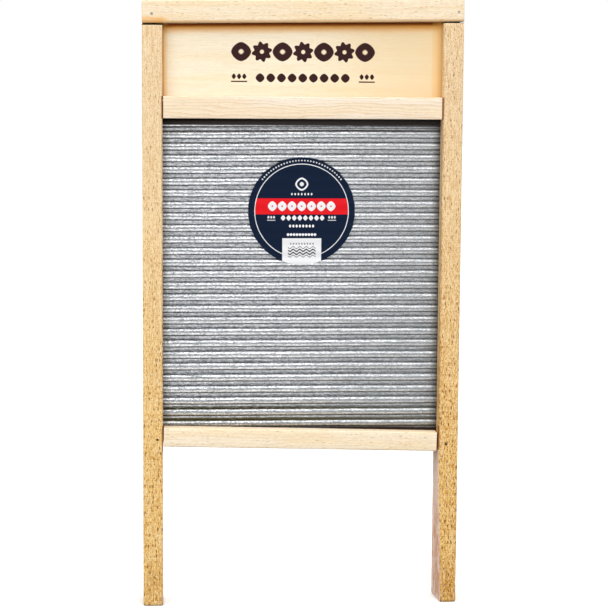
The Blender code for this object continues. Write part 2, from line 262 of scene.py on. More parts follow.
def grain_axes(surface, along, seed):
    """Millimetres along the grain, across the front face and into the depth, moved by a seed."""
    shift = 137.0 * seed
    if along == "X":
        return surface.x + shift, surface.z + shift * 0.7, surface.y + shift * 0.3
    return surface.z + shift, surface.x + shift * 0.7, surface.y + shift * 0.3


def growth_rings(surface, grain, ring_width, pith, lean, wander):
    """0 in early wood, 1 in late wood: rings about a trunk axis that runs along the grain."""
    along, across, depth = grain
    drift = surface.noise(along * 0.012, across * 0.05, depth * 0.05, detail=3.0) - 0.5
    sideways = across - pith[0] + along * lean + drift * wander
    inward = depth - pith[1]
    radius = (sideways * sideways + inward * inward).power(0.5)
    wobble = surface.noise(along * 0.05, across * 0.25, depth * 0.25, detail=2.0) - 0.5
    phase = ((radius + wobble * ring_width * 0.9) / ring_width).fraction()
    return phase.power(3.0) * phase.smooth(1.0, 0.93)


def fibres(surface, grain, fineness):
    """Fine streaks along the grain, 0 to 1."""
    along, across, depth = grain
    return surface.noise(along * 0.06, across * fineness, depth * fineness, detail=4.0, roughness=0.65)


def pine(name, seed, light, late, pith, ring_width=3.2, ring_strength=0.35, lean=0.012,
         flecks=1.0, extra=None):
    """Pale planed pine, grain along X; extra(surface, colour, grain) may paint on it."""
    s = Surface(name)
    grain = grain_axes(s, "X", seed)
    along, across, depth = grain
    rings = growth_rings(s, grain, ring_width, pith, lean, 14.0)
    streaks = fibres(s, grain, 1.5)
    fine = s.noise(along * 0.30, across * 1.2, depth * 1.2, detail=3.0, roughness=0.7)
    broad = s.noise(along * 0.01, across * 0.09, depth * 0.09, detail=3.0)
    colour = s.blend(rings * ring_strength * broad.smooth(0.25, 0.6), light, late)
    warm = tuple(c * k for c, k in zip(light, (0.97, 0.90, 0.76)))
    colour = s.blend(broad.smooth(0.42, 0.66) * 0.6, colour, warm)
    shade = streaks * 0.26 + fine.smooth(0.30, 0.68) * 0.16 * (flecks * 0.8 + 0.2) + 0.80
    colour = s.blend(1.0, colour, s.grey(shade), "MULTIPLY")
    # soft ochre streaks and small brown resin flecks along the grain
    ochre = s.noise(along * 0.07, across * 0.9, depth * 0.9, detail=3.0, roughness=0.6)
    colour = s.blend(ochre.smooth(0.56, 0.72) * 0.55 * flecks, colour, (0.80, 0.55, 0.26))
    distance, pick = s.cells(along * 0.20, across * 1.05, depth * 1.05)
    specks = distance.smooth(0.46, 0.22) * pick.smooth(0.84, 0.93)
    colour = s.blend(specks * 0.55 * flecks, colour, (0.46, 0.25, 0.09))
    long_distance, long_pick = s.cells(along * 0.12 + 9.0, across * 0.8, depth * 0.8)
    dashes = long_distance.smooth(0.40, 0.15) * long_pick.smooth(0.955, 0.985)
    colour = s.blend(dashes * 0.55 * flecks, colour, (0.50, 0.29, 0.12))
    if extra:
        colour = extra(s, colour, grain)
    s.connect("Base Color", colour)
    s.connect("Roughness", streaks * 0.16 + 0.58)
    s.constant(Specular_IOR_Level=0.12)
    coarse = s.noise(along * 0.015, across * 0.9, depth * 0.9, detail=3.0)
    s.bump((streaks * 0.14, 0.6), (coarse * 0.25, 0.30), (specks * -0.12 + rings * 0.08, 0.5))
    return s.material


def leg_figure(s, grain, low_down, mottle, boldness):
    """The legs' colour without their pores: pale, with streaks, blotches and striped feet."""
    along, across, depth = grain
    streaks = fibres(s, grain, 1.1)
    patches = s.noise(along * 0.03, across * 0.20, depth * 0.20, detail=3.0)
    pale = s.blend(low_down, (0.91, 0.715, 0.475), (0.98, 0.685, 0.265))
    dark = s.blend(low_down, (0.60, 0.335, 0.10), (0.56, 0.215, 0.010))
    colour = s.blend((streaks.smooth(0.40, 0.70) * 0.55 * boldness).clamped(), pale, dark)
    blotches = mottle.smooth(0.50, 0.62) * (low_down * 0.55 + 0.34) * boldness
    colour = s.blend(blotches.clamped(), colour, dark)
    colour = s.blend(patches.smooth(0.50, 0.75) * 0.5, colour, (0.93, 0.72, 0.44))
    foot = s.z.smooth(62.0, 20.0) * (boldness - 0.6)
    stripes = s.noise(along * 0.025, across * 0.55, depth * 0.55, detail=2.0).smooth(0.44, 0.56)
    colour = s.blend((foot * stripes * 1.1).clamped(), colour, (0.50, 0.22, 0.035))
    flecks = s.noise(along * 0.30 + 5.0, across * 1.1, depth * 1.1, detail=2.0).smooth(0.54, 0.64)
    return s.blend(flecks * (low_down * 0.3 + 0.34), colour, (1.0, 0.85, 0.54)), streaks


def leg_pores(s, grain, up_share, low_down, boldness, colour):
    """Specks all over, short pores, and long dark pores low down; also says how deep they are."""
    along, across, depth = grain
    middle = up_share.inside(0.45, 0.78, 0.12)
    specks = s.noise(along * 0.75, across * 1.3, depth * 1.3, detail=1.0).smooth(0.58, 0.68)
    specks = specks * (1.0 - middle * 0.5)
    colour = s.blend((specks * 0.55 * boldness).clamped(), colour, (0.44, 0.19, 0.015))
    short_distance, short_pick = s.cells(along * 0.42, across * 1.0, depth * 1.0)
    short_pores = short_distance.smooth(0.46, 0.26) * (short_pick + low_down * 0.16).smooth(0.72, 0.78)
    long_distance, long_pick = s.cells(along * 0.18 + 3.0, across * 0.66, depth * 0.66)
    long_pores = long_distance.smooth(0.44, 0.24) * (long_pick + low_down * 0.20).smooth(0.90, 0.95)
    strength = (low_down * 0.34 + 0.42) * boldness
    colour = s.blend((short_pores * strength).clamped(), colour, (0.42, 0.155, 0.006))
    colour = s.blend((long_pores * strength * 1.15).clamped(), colour, (0.24, 0.070, 0.001))
    return colour, long_pores.most(short_pores * 0.6)


def leg_inner_face_shade(s, grain, side, mottle, colour):
    """The faces between the feet get painted shade: a pinker shaded tone, with brown patches."""
    along, across, depth = grain
    # painted shade: the faces that look inward below the lower rail turn pinker, as side faces in shade
    # do
    inner = s.facing(0, -side) * s.z.smooth(175.0, 158.0)
    shaded_pink = s.blend(mottle.smooth(0.42, 0.60), (1.0, 0.86, 0.79), (0.92, 0.60, 0.47))
    brown = s.noise(along * 0.07, across * 0.1, depth * 0.16, detail=3.0).smooth(0.44, 0.60)
    shaded_pink = s.blend(brown * s.z.smooth(120.0, 70.0) * 0.85, shaded_pink, (0.70, 0.35, 0.19))
    return s.blend(inner * 0.90, colour, shaded_pink)


def leg_joints(s, side, mottle, gap_shadow_z, colour):
    """Painted shade where the rails and the metal meet the leg, and a painted shadow for the gap under
    the cap.
    """
    near_edge = (s.x * side - LEG_INNER_X).smooth(1.7, 1.0) * s.y.smooth(-9.0, -13.0)
    beside_rails = s.z.inside(*MIDDLE_RAIL_Z, 0.5).most(s.z.inside(*LOWER_RAIL_Z, 1.0))
    beside_metal = s.z.inside(LOWER_RAIL_Z[1], MIDDLE_RAIL_Z[0], 1.0)
    beside_metal = beside_metal * mottle.smooth(0.35, 0.60) * 0.6
    # painted shade in the joints beside the rails and, mottled, beside the metal
    joint_shade = near_edge * beside_rails.most(beside_metal) * 0.85
    colour = s.blend(joint_shade, colour, (0.27, 0.075, 0.012))
    # painted shadow: a dark band on the leg's top edge stands in for the shade in the gap under the cap
    return s.blend(s.z.smooth(gap_shadow_z - 0.25, gap_shadow_z + 0.25), colour, (0.012, 0.006, 0.003))


def porous_wood(name, seed, side, top_z, gap_shadow_z, boldness):
    """Tan open-pored wood of the legs, grain along Z, deeper in colour low down."""
    s = Surface(name)
    grain = grain_axes(s, "Z", seed)
    along, across, depth = grain
    mottle = s.noise(along * 0.24, across * 0.95, depth * 0.95, detail=3.0, roughness=0.7)
    up_share = s.z / top_z
    low_down = up_share.smooth(0.95, 0.12)
    colour, streaks = leg_figure(s, grain, low_down, mottle, boldness)
    colour, pits = leg_pores(s, grain, up_share, low_down, boldness, colour)
    colour = leg_inner_face_shade(s, grain, side, mottle, colour)
    colour = leg_joints(s, side, mottle, gap_shadow_z, colour)
    s.connect("Base Color", colour)
    s.connect("Roughness", streaks * 0.15 + 0.60)
    s.constant(Specular_IOR_Level=0.06)
    s.bump((streaks * 0.14, 0.6), (pits * -0.15, 0.6))
    return s.material


def above_top_rail_edge(s):
    """Millimetres above the crooked top rail's lower edge."""
    low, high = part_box("top_rail")
    drop = (high.x - low.x) / 2 * math.tan(abs(TOP_RAIL_TILT))
    return s.z + s.x * math.tan(TOP_RAIL_TILT) - (low.z + drop) / MM


def top_rail_colour(s, colour, grain):
    """A streak of orange heartwood low on the left end, and painted shade in tan along the lower edge.
    """
    above = above_top_rail_edge(s)
    ragged = s.noise(s.x * 0.12, s.z * 0.5, s.y * 0.2, detail=2.0) * 6.0
    mask = (s.x + ragged).smooth(-128.0, -139.0) * (above + ragged * 0.5).smooth(9.0, 6.2)
    depth = s.noise(s.x * 0.06, s.z * 1.1, s.y * 0.6, detail=3.0)
    colour = s.blend(mask * (depth.smooth(0.3, 0.6) * 0.5 + 0.35), colour, (0.86, 0.42, 0.09))
    # painted shade: the rounded lower arris turns down, away from the light
    shaded_lower_arris = above.smooth(3.8, 1.2) * 0.75 * s.facing(1, -1.0)
    return s.blend(shaded_lower_arris, colour, (0.60, 0.33, 0.12))


# ---------------------------------------------------------------------------
# Print on the header panel and the label
# ---------------------------------------------------------------------------

def box_mask(u, v, low, high, edge=0.12):
    """1 inside the rectangle from low to high."""
    return u.inside(low[0], high[0], edge) * v.inside(low[1], high[1], edge)


def lozenge_row(u, v, centre, half_width, half_height, pitch, count, hole=0.0, edge=0.06,
                fullness=1.35):
    """A row of bulged lozenges, each with an optional hole."""
    length = pitch * count
    start = centre[0] - length / 2
    cell = ((u - start) / pitch).fraction() * pitch - pitch / 2
    across = (cell / half_width).absolute().power(fullness)
    along = ((v - centre[1]) / half_height).absolute().power(fullness)
    size = across + along
    shape = size.smooth(1.0 + edge, 1.0 - edge)
    if hole:
        shape = shape * size.smooth(hole - edge, hole + edge)
    return shape * u.inside(start, start + length, 0.02)


def rosette(u, v, centre, radius, petals, hole):
    """A flower with a number of petals and a round hole."""
    du, dv = u - centre[0], v - centre[1]
    r = (du * du + dv * dv).power(0.5)
    wave = (dv.arctan2(du) * petals).sine()
    rim = (wave * 0.13 + 0.89) * radius - r
    return rim.smooth(-0.25, 0.25) * r.smooth(hole - 0.25, hole + 0.25)


def header_warmth_and_shade(s, colour):
    """Warmer wood to the right, and painted shade: shadows where the cap and the legs keep off the
    light, and a darker foot.
    """
    u, v = s.x, s.z
    colour = s.blend(u.smooth(-30.0, 120.0) * 0.82, colour, (0.86, 0.66, 0.39))
    # painted shadow under the cap: orange, then dark brown, then near black at its edge
    under = above_top_rail_edge(s) * -1.0
    soft = s.noise(u * 0.03, v * 0.3, 0.0, detail=2.0) * 2.0
    cap_shadow = (under + soft).smooth(13.5, 2.5)
    colour = s.blend(cap_shadow * 0.95, colour, (0.98, 0.45, 0.06))
    colour = s.blend(under.smooth(4.4, 2.0) * 0.85, colour, (0.42, 0.095, 0.012))
    colour = s.blend(under.smooth(2.4, 1.4) * 0.6, colour, (0.10, 0.02, 0.004))
    # painted shadows of the legs on both sides, darkest right next to the left leg
    right_leg_shadow = u.smooth(127.8, 130.5) * 0.38 + u.smooth(130.5, 138.0) * 0.32
    left_leg_shadow = u.smooth(-132.0, -137.6) * 0.75
    colour = s.blend(right_leg_shadow + left_leg_shadow, colour, (0.84, 0.50, 0.14))
    colour = s.blend(u.smooth(-136.6, -138.2) * 0.6, colour, (0.40, 0.16, 0.03))
    # painted shade at the foot, holding back the light that bounces up off the middle rail
    shaded_foot = v.smooth(531.0, 514.0)
    return s.blend(shaded_foot, colour, s.blend(1.0, colour, (0.87, 0.85, 0.86), "MULTIPLY"))


def header_border(u, v):
    """Bold lozenges and rosettes over a row of small lozenges, with an underlined mark each side."""
    border = (BORDER_MIDDLE_X, BORDER_Z)
    ink = lozenge_row(u, v, border, 9.9, 9.4, BORDER_PITCH * 2, 4, hole=0.10, fullness=1.65)
    for place in (-2, 0, 2):
        centre = (BORDER_MIDDLE_X + place * BORDER_PITCH, BORDER_Z)
        ink = ink.most(rosette(u, v, centre, 10.0, 8, 2.0))
    ink = ink.most(lozenge_row(u, v, (0.0, 531.3), 4.4, 4.4, 10.6, 9, fullness=1.6))
    for side in (-1, 1):
        middle = BORDER_MIDDLE_X + side * 63.5
        ink = ink.most(lozenge_row(u, v, (middle, 532.6), 2.1, 2.8, 5.2, 3))
        ink = ink.most(box_mask(u, v, (middle - 8.0, 527.0), (middle + 8.0, 528.3)))
    return ink


def header_colour(s, colour, grain):
    """The header's front face: wood with painted shade and a printed generic border."""
    along, across, depth = grain
    worn = s.noise(along * 0.08, across * 1.6, depth * 1.6, detail=3.0).smooth(0.15, 0.35)
    ink = header_border(s.x, s.z) * (worn * 0.06 + 0.94)
    printed = s.blend(ink, header_warmth_and_shade(s, colour), (0.034, 0.010, 0.010))
    return s.blend(s.facing(1, -1.0), colour, printed)


def label_marks(u, v, r):
    """The white print: a ring, rows of lozenges, a crest and dots round the upper border."""
    ring = LABEL_RING_RADIUS
    marks = r.inside(ring + 0.05, ring + 0.80, 0.15)
    marks = marks.most(lozenge_row(u, v, (0.0, 4.9), 4.5, 4.9, 9.8, 7, hole=0.07, fullness=1.6))
    marks = marks.most(lozenge_row(u, v, (0.0, 17.0), 0.9, 1.3, 3.3, 7))
    marks = marks.most(lozenge_row(u, v, (1.0, -6.9), 2.3, 2.7, 5.6, 8))
    for side in (-1, 1):
        middle = side * 30.5
        marks = marks.most(lozenge_row(u, v, (middle, -6.2), 1.1, 1.5, 2.8, 3) * 0.85)
        marks = marks.most(box_mask(u, v, (middle - 4.2, -9.6), (middle + 4.2, -8.8)) * 0.8)
    marks = marks.most(lozenge_row(u, v, (0.0, -15.0), 1.2, 1.6, 3.3, 8))
    marks = marks.most(lozenge_row(u, v, (0.0, -23.6), 1.5, 1.5, 3.0, 10))
    # crest: a lozenge frame with a small lozenge inside
    crest_size = 6.6
    crest_u, crest_v = u / crest_size, (v - 27.0) / crest_size
    size = crest_u.absolute().power(1.6) + crest_v.absolute().power(1.6)
    marks = marks.most(size.inside(0.62, 1.0, 0.06)).most(size.smooth(0.22, 0.12))
    # dots, each a step of the angle apart
    angle = v.arctan2(u)
    ring_step = math.radians(3.4)
    cell = ((angle / ring_step).fraction() - 0.5) * ring_step * LABEL_DOTS_RADIUS
    outward = r - LABEL_DOTS_RADIUS
    dot = (cell * cell + outward * outward).power(0.5).smooth(0.95, 0.60)
    dots = dot * angle.inside(math.radians(38), math.radians(142), 0.01)
    return marks.most(dots * 0.85)


def label_waves(u, v):
    """Dark ripples under a row of small lozenges, for the white panel."""
    wavy = v + 41.0 + (u * 0.95).sine()
    waves = wavy.inside(-4.65, 4.65, 0.06)
    stripes = ((wavy / 3.1).fraction() - 0.5).absolute().smooth(0.30, 0.20)
    pattern = waves * stripes * u.inside(-13.5, 14.3, 0.2)
    return pattern.most(lozenge_row(u, v, (0.4, -32.8), 0.8, 1.1, 2.8, 9) * 0.8)


def label_print(name, centre_z, radius):
    """Navy label with a red band, a white ring, a white panel and generic ornaments."""
    s = Surface(name)
    u, v = s.x, s.z - centre_z
    r = (u * u + v * v).power(0.5)
    mottle = s.noise(u * 0.8, v * 0.8, 0.0, detail=3.0)
    colour = s.blend(mottle * 0.5, (0.0010, 0.0072, 0.025), (0.0030, 0.0115, 0.036))
    within_ring = r.smooth(LABEL_RING_RADIUS + 0.1, LABEL_RING_RADIUS - 0.1)
    colour = s.blend(v.inside(-3.3, 12.7, 0.1) * within_ring, colour, (0.78, 0.010, 0.016))
    colour = s.blend(label_marks(u, v, r), colour, (0.88, 0.88, 0.90))
    panel = box_mask(u, v, (-19.3, -60.0), (19.9, -27.3), 0.2)
    colour = s.blend(panel, colour, (0.86, 0.86, 0.88))
    colour = s.blend(label_waves(u, v) * panel, colour, (0.05, 0.05, 0.06))
    edge_wear = r.smooth(radius - 1.0, radius - 0.2) * mottle.smooth(0.5, 0.7)
    colour = s.blend(edge_wear * 0.5, colour, (0.30, 0.32, 0.36))
    s.connect("Base Color", colour)
    s.connect("Roughness", mottle * 0.12 + 0.40)
    s.constant(Specular_IOR_Level=0.10)
    s.bump((mottle * 0.03, 0.5))
    return s.material


# ---------------------------------------------------------------------------
# Metal
# ---------------------------------------------------------------------------

def from_ridge_centre(s):
    """Millimetres above the nearest ridge's centre line, which wanders and droops a little."""
    pitch = RIDGE_PITCH / MM
    wander = (s.noise(s.x * 0.03, s.z * 0.08, 0.0, detail=3.0) - 0.5) * 1.3
    wander = wander + s.x.smooth(60.0, -140.0) * s.z.smooth(280.0, 480.0) * (RIDGE_DROOP / MM)
    return (((s.z + wander - TOP_RIDGE_CENTRE / MM) / pitch + 0.5).fraction() - 0.5) * pitch


def zinc_colour(s, crystal, fine, streaks):
    """Mottled zinc, with salt and pepper crystals about two millimetres across."""
    tone = crystal * 0.06 + fine.smooth(0.38, 0.60) * 0.54 + streaks.smooth(0.38, 0.62) * 0.40
    pale = s.blend(streaks.smooth(0.40, 0.60), (0.79, 0.83, 0.86), (0.87, 0.86, 0.89))
    colour = s.blend(tone.clamped(), (0.16, 0.165, 0.18), pale)
    grains = s.noise(s.x * 0.42, s.z * 0.80, s.y * 0.8, detail=2.0, roughness=0.8)
    return s.blend(1.0, colour, s.grey(grains.smooth(0.42, 0.58) * 0.62 + 0.62), "MULTIPLY")


def ridge_reflections_and_wear(s, from_ridge, flat, broken, colour):
    """Painted reflections, partly wear: dull flats and crests, and a painted highlight line below each
    crest.
    """
    colour = s.blend(flat * 0.30, colour, (0.17, 0.18, 0.19))
    # painted dim reflection on the crests, which face the darker front, partly wear
    crest = from_ridge.inside(-0.8, 0.7, 0.4)
    colour = s.blend(crest * 0.62, colour, (0.17, 0.18, 0.18))
    # painted highlight: the lower slope reflecting the bright floor
    painted_glint = from_ridge.inside(-2.4, -1.3, 0.35) * broken.smooth(0.35, 0.60)
    return s.blend(painted_glint * 0.50, colour, (0.95, 0.96, 0.97))


def ridge_crease_shade(s, from_ridge, half, broken, colour):
    """Painted crease shade, partly soiling: a fine dark line under each ridge, and one above it that
    grows broad and olive low down.
    """
    low_down = s.z.smooth(380.0, 240.0)
    lowest = s.z.smooth(216.0, 192.0)
    clear = s.z.smooth(LOWER_RAIL_Z[1] - 3.0, LOWER_RAIL_Z[1])
    # painted shade at the ridge feet, partly soiling
    under = (from_ridge + half).absolute().smooth(0.80, 0.25) * (broken.smooth(0.36, 0.58) * 0.6 + 0.30)
    reach = low_down * 0.75 + lowest * 0.55 + 0.75
    over = (reach - (from_ridge - half - low_down * 0.70).absolute()).smooth(-0.3, 0.45)
    over = over * (broken.smooth(0.60, 0.38) * 0.50 + 0.22 + lowest * 0.60)
    shade_and_dirt = s.blend(lowest, (0.030, 0.033, 0.036), (0.070, 0.058, 0.018))
    return s.blend((under.most(over) * clear).clamped(), colour, shade_and_dirt)


def top_gap_shade(s, broken):
    """Darkness in the gap under the middle rail, and a ragged edge line below it."""
    ragged_z = s.z + (broken - 0.5) * 0.6
    top_gap = ragged_z.smooth(484.1, 484.7)
    return top_gap, top_gap.most(ragged_z.inside(481.2, 482.0, 0.25) * 0.75)


def bottom_gap_shade(s):
    """Darkness over the crooked lower rail: a wedge that opens to the right."""
    low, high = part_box("lower_rail")
    middle_top = (low.z + high.z) / 2 / MM + LOWER_RAIL_HEIGHT / 2 / MM
    above_rail = s.z + s.x * math.tan(LOWER_RAIL_TILT) - middle_top
    opening = s.x.smooth(-70.0, 130.0)
    shade = (1.0 - above_rail / (opening * 2.6 + 0.4)).clamped() * (opening * 0.92 + 0.08)
    return (shade * 1.8).clamped()


def galvanised(name):
    """Hot-dip zinc: mottled crystals, painted reflections on the ridges, and painted shade along the
    ridge feet and the frame.
    """
    s = Surface(name)
    half = RIDGE_HALF_WIDTH / MM
    from_ridge = from_ridge_centre(s)
    crystal_gap, crystal = s.cells(s.x * 0.20, s.z * 0.34, s.y * 0.3)
    fine = s.noise(s.x * 0.62, s.z * 1.2, s.y * 0.8, detail=2.0, roughness=0.8)
    streaks = s.noise(s.x * 0.060, s.z * 1.5, s.y * 1.1, detail=4.0, roughness=0.65)
    broken = s.noise(s.x * 0.19, s.z * 0.6, 0.0, detail=4.0, roughness=0.75)
    flat = from_ridge.absolute().smooth(half - 0.5, half + 0.4)
    colour = zinc_colour(s, crystal, fine, streaks)
    colour = ridge_reflections_and_wear(s, from_ridge, flat, broken, colour)
    colour = ridge_crease_shade(s, from_ridge, half, broken, colour)
    # painted shade: dimmer reflections to the right, with rougher zinc there too, and darker beside the
    # legs, in their shade
    rightward = s.x.smooth(-60.0, 120.0)
    colour = s.blend(rightward * 0.40 + 0.06, colour, (0.21, 0.22, 0.222))
    shade_beside_legs = s.x.absolute().smooth(130.0, LEG_INNER_X - 0.3)
    colour = s.blend(shade_beside_legs * 0.50, colour, (0.065, 0.070, 0.062))
    top_gap, top_shade = top_gap_shade(s, broken)
    bottom_gap = bottom_gap_shade(s)
    colour = s.blend(top_shade, colour, (0.014, 0.009, 0.007))
    colour = s.blend(bottom_gap, colour, (0.022, 0.008, 0.002))
    s.connect("Base Color", colour)
    dull = top_gap.most(bottom_gap)
    s.connect("Metallic", 1.0 - dull * 0.9)
    rough = fine * 0.20 + flat * 0.10 + rightward * 0.12 + 0.20 + dull * 0.4
    s.connect("Roughness", rough.clamped())
    s.bump((fine * 0.16, 0.6), (streaks * 0.18, 0.6), (crystal_gap * 0.05, 0.3))
    return s.material


def nail_steel(name, bright, rusty):
    """Drawn wire with a little rust."""
    s = Surface(name)
    spots = s.noise(s.x * 1.2, s.y * 0.8, s.z * 1.2, detail=3.0)
    s.connect("Base Color", s.blend(spots.smooth(0.5, 0.7), bright, rusty))
    s.connect("Roughness", spots * 0.3 + 0.35)
    s.constant(Metallic=0.9)
    s.bump((spots * 0.1, 0.4))
    return s.material


# ---------------------------------------------------------------------------
# Meshes
# ---------------------------------------------------------------------------

def new_piece(name, mesh, material, slot, *replaced):
    """Turn a mesh into a piece that rides on the board and stands for CAD nodes."""
    piece = bpy.data.objects.new(name, mesh)
    bpy.context.scene.collection.objects.link(piece)
    mesh.materials.clear()
    mesh.materials.append(material)
    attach(piece, "root")
    if replaced:
        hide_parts(*replaced)
    return piece


def ring_points(half_a, half_b, radii, side_steps, corner_steps):
    """Points round a rectangle with rounded corners, as (a, b), and which corner each is near."""
    corners = ((1, 1, 0), (-1, 1, 90), (-1, -1, 180), (1, -1, 270))
    points = []
    for index, (sa, sb, start) in enumerate(corners):
        radius = radii[index]
        centre = (sa * (half_a - radius), sb * (half_b - radius))
        for step in range(corner_steps + 1):
            turn = math.radians(start + 90 * step / corner_steps)
            points.append((centre[0] + radius * math.cos(turn), centre[1] + radius * math.sin(turn)))
        following = corners[(index + 1) % 4]
        next_radius = radii[(index + 1) % 4]
        next_centre = (following[0] * (half_a - next_radius), following[1] * (half_b - next_radius))
        next_turn = math.radians(start + 90)
        first = points[-1]
        last = (next_centre[0] + next_radius * math.cos(next_turn),
                next_centre[1] + next_radius * math.sin(next_turn))
        steps = side_steps[index % 2]
        for step in range(1, steps):
            t = step / steps
            points.append((first[0] + (last[0] - first[0]) * t, first[1] + (last[1] - first[1]) * t))
    return points


def plank_skin(name, low, high, along, seed, radius=1.2 * MM, end_radius=0.9 * MM, uneven=0.14 * MM,
               inset=0.03 * MM, dents=()):
    """A closed, slightly uneven bar just inside a box: rounded arrises, waves and nicks."""
    length_axis, a_axis, b_axis = {"X": (0, 2, 1), "Z": (2, 0, 1)}[along]
    centre = [(p + q) / 2 for p, q in zip(low, high)]
    half = [(q - p) / 2 - inset for p, q in zip(low, high)]
    half_a, half_b, half_length = half[a_axis], half[b_axis], half[length_axis]
    spacing = 4 * MM
    stations = max(8, int(2 * half_length / spacing))
    places = [-half_length + 2 * half_length * i / stations for i in range(1, stations)]
    ends = [0.0, 0.3 * end_radius, end_radius]
    between = [place for place in places if abs(place) < half_length - 2 * end_radius]
    places = [-half_length + end for end in ends] + between
    places += [half_length - end for end in reversed(ends)]
    side_steps = (max(3, int(2 * half_a / spacing)), max(3, int(2 * half_b / spacing)))
    shape = bmesh.new()
    rings = []
    for place in places:
        from_end = half_length - abs(place)
        pull = end_radius - math.sqrt(max(0.0, end_radius ** 2 - max(0.0, end_radius - from_end) ** 2))
        radii = []
        for corner in range(4):
            grain = noise.noise(Vector((place * 45, corner * 7.3, seed)))
            nick = max(0.0, noise.noise(Vector((place * 160, corner * 5.1 + 50, seed))) - 0.42) * 3.0
            radii.append(radius * (1.0 + 0.45 * grain + nick) + pull * 0.5)
        ring = []
        for a, b in ring_points(half_a - pull, half_b - pull, radii, side_steps, 4):
            wave = noise.noise(Vector((place * 9, a * 60, b * 60 + seed * 3.7)))
            ripple = noise.noise(Vector((place * 70, a * 240, b * 240 + seed * 9.1)))
            sink = uneven * (0.5 + 0.38 * wave + 0.12 * ripple)
            scale_a = (half_a - sink) / half_a
            scale_b = (half_b - sink) / half_b
            point = [0.0, 0.0, 0.0]
            point[length_axis] = centre[length_axis] + place
            point[a_axis] = centre[a_axis] + a * scale_a
            point[b_axis] = centre[b_axis] + b * scale_b
            ring.append(shape.verts.new(point))
        rings.append(ring)
    count = len(rings[0])
    for first, second in zip(rings, rings[1:]):
        for i in range(count):
            j = (i + 1) % count
            shape.faces.new((first[i], first[j], second[j], second[i]))
    shape.faces.new(rings[0])
    shape.faces.new(rings[-1])
    for place, size, depth in dents:
        press_dent(shape, Vector(place), size, depth, centre)
    bmesh.ops.recalc_face_normals(shape, faces=shape.faces)
    mesh = bpy.data.meshes.new(name)
    shape.to_mesh(mesh)
    shape.free()
    return mesh


def press_dent(shape, place, size, depth, centre):
    """Push the vertices near a point towards the bar's middle line."""
    for vertex in shape.verts:
        distance = (vertex.co - place).length
        if distance < 2 * size:
            amount = depth * math.exp(-(distance / size) ** 2)
            inward = Vector((0.0, centre[1] - vertex.co.y, centre[2] - vertex.co.z)).normalized()
            vertex.co += inward * amount


def shade(mesh, angle_degrees):
    """Smooth shading, with edges sharper than an angle kept crisp."""
    mesh.shade_smooth()
    mesh.set_sharp_from_angle(angle=math.radians(angle_degrees))


def weld(mesh):
    """Merge points that a cut left almost on each other, with the slivers between them."""
    shape = bmesh.new()
    shape.from_mesh(mesh)
    bmesh.ops.remove_doubles(shape, verts=shape.verts, dist=0.03 * MM)
    bmesh.ops.dissolve_degenerate(shape, edges=shape.edges, dist=0.01 * MM)
    shape.to_mesh(mesh)
    shape.free()


def trimmed_wood(node, skin, material, slot):
    """The part of a CAD piece inside an uneven skin: worn faces outside, true joints inside."""
    body = bpy.data.objects.new("trim_body", NODES[node].data.copy())
    tool = bpy.data.objects.new("trim_skin", skin)
    for item in (body, tool):
        bpy.context.scene.collection.objects.link(item)
    boolean = body.modifiers.new("skin", "BOOLEAN")
    boolean.operation = "INTERSECT"
    boolean.solver = "EXACT"
    boolean.object = tool
    graph = bpy.context.evaluated_depsgraph_get()
    mesh = bpy.data.meshes.new_from_object(body.evaluated_get(graph))
    weld(mesh)
    mesh.name = node + "_wood"
    bpy.data.objects.remove(body)
    bpy.data.objects.remove(tool)
    shade(mesh, 32)
    return new_piece(node + "_wood", mesh, material, slot, node)


def ridge_line(fine_steps):
    """Rows from the sheet's bottom to its top, as (z, offset from the ridge's centre or None)."""
    low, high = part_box("scrub_sheet")
    reach = RIDGE_HALF_WIDTH + RIDGE_FILLET
    flat = RIDGE_PITCH - 2 * reach
    line = [(low.z, None)]
    for ridge in reversed(range(RIDGE_COUNT)):
        centre = TOP_RIDGE_CENTRE - ridge * RIDGE_PITCH
        offsets = [(-1.0 + 2.0 * step / fine_steps) * reach for step in range(fine_steps + 1)]
        if ridge:
            offsets += [reach + flat * step / 4 for step in (1, 2, 3)]
        line += [(centre + offset, offset) for offset in offsets]
    line.append((high.z, None))
    return line


def between_ridges(z):
    """0 on a ridge's centre line and 1 midway between two ridges."""
    from_ridge = ((z - TOP_RIDGE_CENTRE) / RIDGE_PITCH + 0.5) % 1.0 - 0.5
    return (1 - math.cos(math.tau * from_ridge)) / 2


def smoothstep(value, low, high):
    """0 below low, 1 above high, smooth between."""
    share = min(1.0, max(0.0, (value - low) / (high - low)))
    return share * share * (3 - 2 * share)


def ridge_depth(offset):
    """How far a ridge stands forward at a distance from its centre: round top, small fillets."""
    if offset is None:
        return 0.0
    size = abs(offset) / (RIDGE_HALF_WIDTH + RIDGE_FILLET)
    if size >= 1:
        return 0.0
    return RIDGE_HEIGHT * (1 - size ** 2.3) ** 0.75 * min(1.0, (1 - size) * 9) ** 0.5


